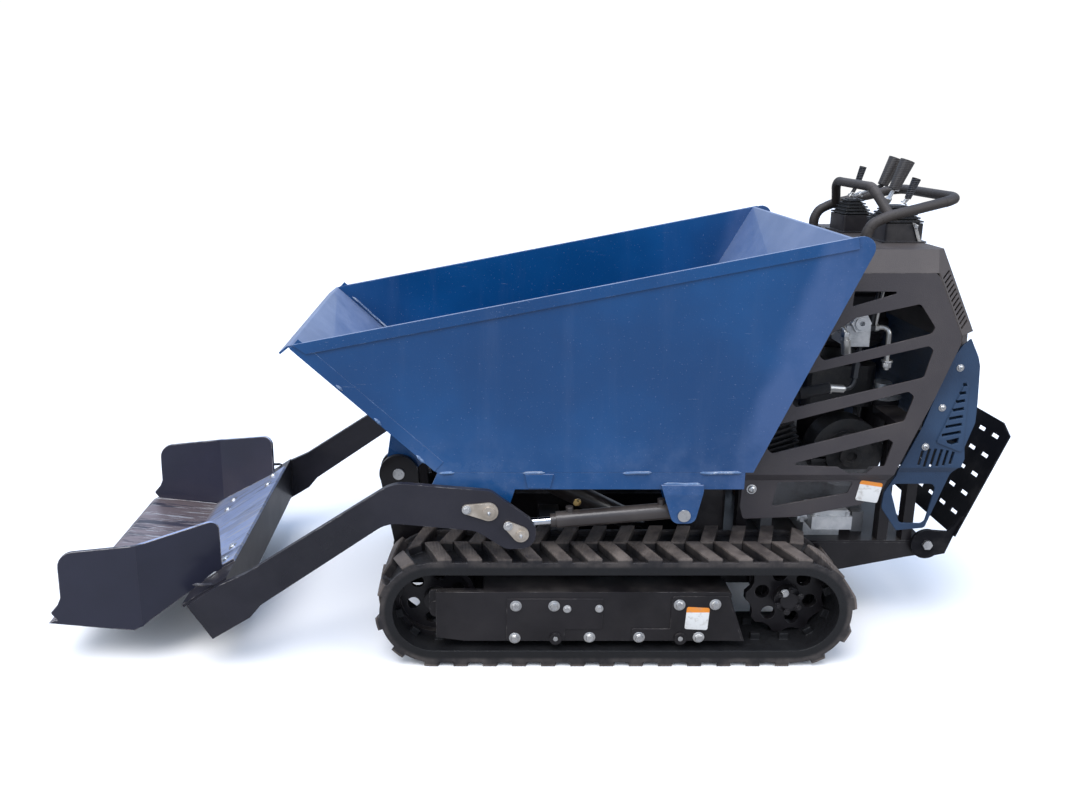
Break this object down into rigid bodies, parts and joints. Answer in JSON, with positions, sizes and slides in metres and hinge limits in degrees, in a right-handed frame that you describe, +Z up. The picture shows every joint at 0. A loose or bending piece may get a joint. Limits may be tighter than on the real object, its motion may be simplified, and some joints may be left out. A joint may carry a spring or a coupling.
{
  "type": "site dumper",
  "caption": "Blue tracked walk-behind mini dumper with a tipping skip, a front self-loading shovel, open-slotted engine guards and a fold-down operator platform.",
  "frame": {"origin": "middle of the ground contact rectangle: half way between the shovel's tip and the folded platform's rear edge, on the ground, in the middle plane", "axes": "+X forward towards the shovel, +Y to the machine's left, +Z up"},
  "size_m": [2.4021, 0.81, 1.2208],
  "materials": {
    "blue_paint": "gloss",
    "black_paint": "satin",
    "grey_paint": "textured satin",
    "bare_steel": "zinc plated",
    "cast_dark": "satin",
    "grip_plastic": "matte",
    "light_plastic": "matte",
    "rubber": "dusty"
  },
  "bodies": {
    "chassis": {"track_left": "rubber", "track_right": "rubber", "track_frame_left": "black_paint", "track_frame_right": "black_paint", "sprockets": "cast_dark", "idlers": "cast_dark", "track_rollers": "cast_dark", "drive_motors": "cast_dark", "chassis_frame": "black_paint", "pivot_brackets": "black_paint", "tip_bracket": "black_paint", "engine_deck": "black_paint", "platform_pins": "bare_steel", "engine": "cast_dark", "gearbox": "bare_steel", "oil_tank": "grip_plastic", "valve_block": "bare_steel", "hydraulic_pipes": "cast_dark", "side_guard_left": "grey_paint", "side_guard_right": "grey_paint", "hood_top": "grey_paint", "rear_guard": "blue_paint", "rear_pad": "light_plastic", "handlebar": "grey_paint", "lever_boxes": "black_paint", "lever_boots": "rubber", "drive_levers": "grip_plastic", "function_levers": "grip_plastic"},
    "tub": {"tub": "blue_paint", "tub_skirts": "blue_paint", "cylinder_ears": "blue_paint", "tub_crossmembers": "blue_paint", "tub_lugs": "blue_paint", "tub_pins": "bare_steel"},
    "loader": {"loader_arms": "black_paint", "arm_crossbeam": "black_paint", "shovel": "black_paint", "arm_pin_locks": "bare_steel"},
    "arm_barrel_left": {"arm_cylinder_left": "grey_paint"},
    "arm_barrel_right": {"arm_cylinder_right": "grey_paint"},
    "arm_ram_left": {"arm_rod_left": "bare_steel"},
    "arm_ram_right": {"arm_rod_right": "bare_steel"},
    "tip_barrel": {"tip_cylinder": "black_paint"},
    "tip_ram": {"tip_rod": "bare_steel"},
    "platform": {"platform": "black_paint"}
  },
  "joints": [
    {"name": "tub_tip", "type": "hinge", "parent": "chassis", "child": "tub", "pos_m": [0.353, 0, 0.425], "axis": [0, 1, 0], "range_deg": [0, 68]},
    {"name": "loader_lift", "type": "hinge", "parent": "tub", "child": "loader", "pos_m": [0.124, 0, 0.423], "axis": [0, -1, 0], "range_deg": [0, 110]},
    {"name": "arm_barrel_left_swing", "type": "hinge", "parent": "tub", "child": "arm_barrel_left", "pos_m": [-0.338, 0.338, 0.401], "axis": [0, -1, 0], "range_deg": [0, 2.12]},
    {"name": "arm_ram_left_slide", "type": "slide", "parent": "arm_barrel_left", "child": "arm_ram_left", "axis": [0.9959, 0, -0.0901], "range_m": [0, 0.15351]},
    {"name": "arm_barrel_right_swing", "type": "hinge", "parent": "tub", "child": "arm_barrel_right", "pos_m": [-0.338, -0.338, 0.401], "axis": [0, -1, 0], "range_deg": [0, 2.12]},
    {"name": "arm_ram_right_slide", "type": "slide", "parent": "arm_barrel_right", "child": "arm_ram_right", "axis": [0.9959, 0, -0.0901], "range_m": [0, 0.15351]},
    {"name": "tip_barrel_swing", "type": "hinge", "parent": "chassis", "child": "tip_barrel", "pos_m": [-0.297, 0, 0.204], "axis": [0, -1, 0], "range_deg": [0, 7.79]},
    {"name": "tip_ram_slide", "type": "slide", "parent": "tip_barrel", "child": "tip_ram", "axis": [0.8888, 0, 0.4582], "range_m": [0, 0.20873]},
    {"name": "platform_fold", "type": "hinge", "parent": "chassis", "child": "platform", "pos_m": [-1.018, 0, 0.237], "axis": [0, -1, 0], "range_deg": [0, 69]}
  ],
  "couplings": [
    {"joint": "arm_barrel_left_swing", "follows": "loader_lift", "ratio": 0.019114},
    {"joint": "arm_ram_left_slide", "follows": "loader_lift", "m_per_rad": 0.079907},
    {"joint": "arm_barrel_right_swing", "follows": "loader_lift", "ratio": 0.019114},
    {"joint": "arm_ram_right_slide", "follows": "loader_lift", "m_per_rad": 0.079907},
    {"joint": "tip_barrel_swing", "follows": "tub_tip", "ratio": 0.11434},
    {"joint": "tip_ram_slide", "follows": "tub_tip", "m_per_rad": 0.17579}
  ]
}
